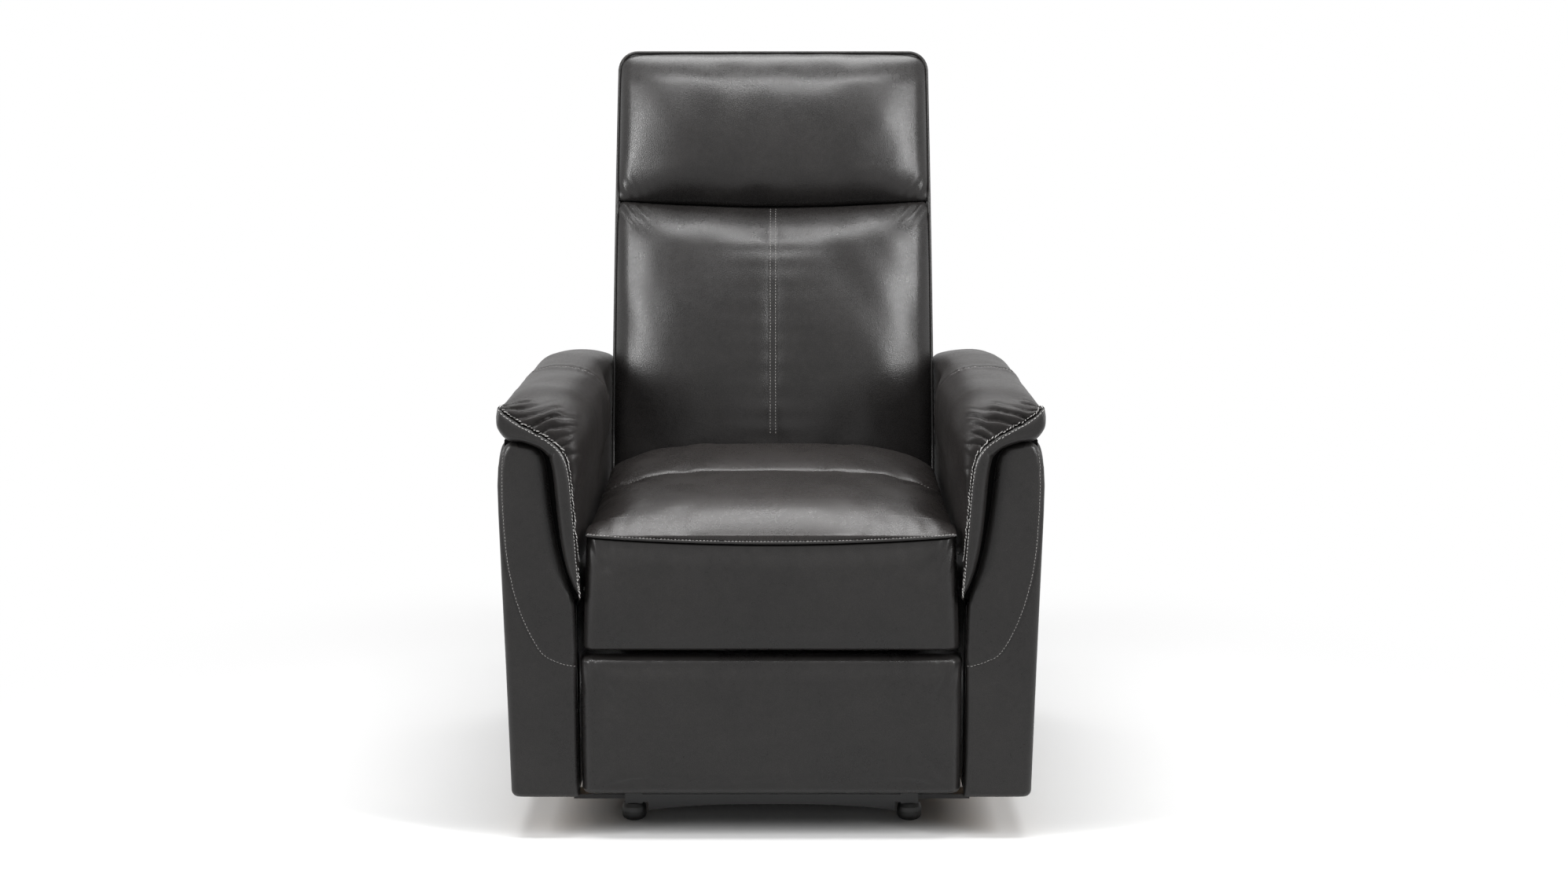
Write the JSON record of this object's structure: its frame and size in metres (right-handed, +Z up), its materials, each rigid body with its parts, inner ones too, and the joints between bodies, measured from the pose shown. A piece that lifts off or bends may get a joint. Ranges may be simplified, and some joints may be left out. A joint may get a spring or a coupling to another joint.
{
  "type": "recliner seat",
  "caption": "Cinema recliner in dark bonded leather, with a hinged back, padded arms and a footrest that folds out on a link mechanism.",
  "frame": {"origin": "on the floor, under the middle of the chair's footprint with the footrest closed and the back upright", "axes": "+Z up, +X to the right of someone looking at the front (the sitter's left), -Y to the front; parts named left are on -X"},
  "size_m": [0.712, 0.8316, 1.0505],
  "materials": {
    "bonded_leather_cushion": "dark grey-brown bonded leather over foam, fine pebble grain, semi-gloss",
    "bonded_leather_cover": "dark grey-brown bonded leather, fine pebble grain, semi-gloss",
    "black_backing_cloth": "matt black woven or felt backing",
    "frame_timber": "plain sanded plywood and timber",
    "black_steel": "black powder coat",
    "zinc_steel": "bright zinc",
    "foot_rubber": "matt black moulded"
  },
  "bodies": {
    "base": {"base_rail_left": "black_steel", "base_rail_right": "black_steel", "front_cross_bar": "black_steel", "rear_cross_tube": "black_steel", "feet": "foot_rubber", "rear_skirt": "black_backing_cloth", "arm_brackets": "black_steel", "arm_bolts": "zinc_steel", "swing_rivets": "zinc_steel", "arm_frame_left": "frame_timber", "arm_frame_right": "frame_timber", "arm_outer_cover_left": "bonded_leather_cover", "arm_outer_cover_right": "bonded_leather_cover", "arm_inner_cover_left": "bonded_leather_cover", "arm_inner_cover_right": "bonded_leather_cover", "arm_front_panel_left": "bonded_leather_cover", "arm_front_panel_right": "bonded_leather_cover", "arm_pad_left": "bonded_leather_cushion", "arm_pad_right": "bonded_leather_cushion"},
    "front_swing": {"front_swing_link_left": "black_steel", "front_swing_link_right": "black_steel"},
    "rear_swing": {"rear_swing_link_left": "black_steel", "rear_swing_link_right": "black_steel"},
    "seat": {"seat_plate_left": "black_steel", "seat_plate_right": "black_steel", "seat_cross_tubes": "black_steel", "seat_front_rail": "frame_timber", "seat_rear_rail": "frame_timber", "seat_side_rails": "frame_timber", "seat_springs": "zinc_steel", "seat_dust_cover": "black_backing_cloth", "seat_cushion": "bonded_leather_cushion", "seat_front_border": "bonded_leather_cushion", "seat_rivets": "zinc_steel", "seat_bolts": "zinc_steel"},
    "back": {"back_bracket_left": "black_steel", "back_bracket_right": "black_steel", "back_post_left": "frame_timber", "back_post_right": "frame_timber", "back_rails": "frame_timber", "back_webbing": "black_backing_cloth", "lumbar_cushion": "bonded_leather_cushion", "head_cushion": "bonded_leather_cushion", "back_shell": "bonded_leather_cover", "back_bolts": "zinc_steel"},
    "drive": {"drive_link_left": "black_steel", "drive_link_right": "black_steel", "link_rivets": "zinc_steel"},
    "guide": {"guide_link_left": "black_steel", "guide_link_right": "black_steel"},
    "cross": {"cross_link_left": "black_steel", "cross_link_right": "black_steel", "cross_rivets": "zinc_steel"},
    "top": {"top_link_left": "black_steel", "top_link_right": "black_steel"},
    "footrest": {"footrest_bracket_left": "black_steel", "footrest_bracket_right": "black_steel", "footrest_rivets": "zinc_steel", "footrest_board": "frame_timber", "footrest_pad": "bonded_leather_cushion"}
  },
  "joints": [
    {"name": "recline", "type": "hinge", "parent": "base", "child": "front_swing", "pos_m": [0, -0.15477, 0.092], "axis": [1, 0, 0], "range_deg": [0, 35]},
    {"name": "rear_swing_turn", "type": "hinge", "parent": "base", "child": "rear_swing", "pos_m": [0, 0.02823, 0.092], "axis": [1, 0, 0], "range_deg": [0, 35]},
    {"name": "seat_level", "type": "hinge", "parent": "front_swing", "child": "seat", "pos_m": [0, -0.08977, 0.20458], "axis": [1, 0, 0], "range_deg": [-35, 0]},
    {"name": "back_recline", "type": "hinge", "parent": "seat", "child": "back", "pos_m": [0, 0.13723, 0.33], "axis": [-1, 0, 0], "range_deg": [0, 42]},
    {"name": "footrest_open", "type": "hinge", "parent": "seat", "child": "drive", "pos_m": [0, -0.20277, 0.273], "axis": [-1, 0, 0], "range_deg": [0, 90]},
    {"name": "guide_turn", "type": "hinge", "parent": "seat", "child": "guide", "pos_m": [0, -0.16311, 0.24255], "axis": [-1, 0, 0], "range_deg": [0, 90]},
    {"name": "cross_turn", "type": "hinge", "parent": "drive", "child": "cross", "pos_m": [0, -0.13265, 0.08036], "axis": [-1, 0, 0], "range_deg": [-90, 0]},
    {"name": "top_turn", "type": "hinge", "parent": "drive", "child": "top", "pos_m": [0, -0.11897, 0.04278], "axis": [-1, 0, 0], "range_deg": [-90, 0]},
    {"name": "bracket_turn", "type": "hinge", "parent": "cross", "child": "footrest", "pos_m": [0, -0.33277, 0.234], "axis": [-1, 0, 0], "range_deg": [0, 90]}
  ],
  "couplings": [
    {"joint": "rear_swing_turn", "follows": "recline", "ratio": 1},
    {"joint": "seat_level", "follows": "recline", "ratio": -1},
    {"joint": "back_recline", "follows": "recline", "ratio": 1.2},
    {"joint": "guide_turn", "follows": "footrest_open", "ratio": 1},
    {"joint": "cross_turn", "follows": "footrest_open", "ratio": -1},
    {"joint": "top_turn", "follows": "footrest_open", "ratio": -1},
    {"joint": "bracket_turn", "follows": "footrest_open", "ratio": 1}
  ]
}
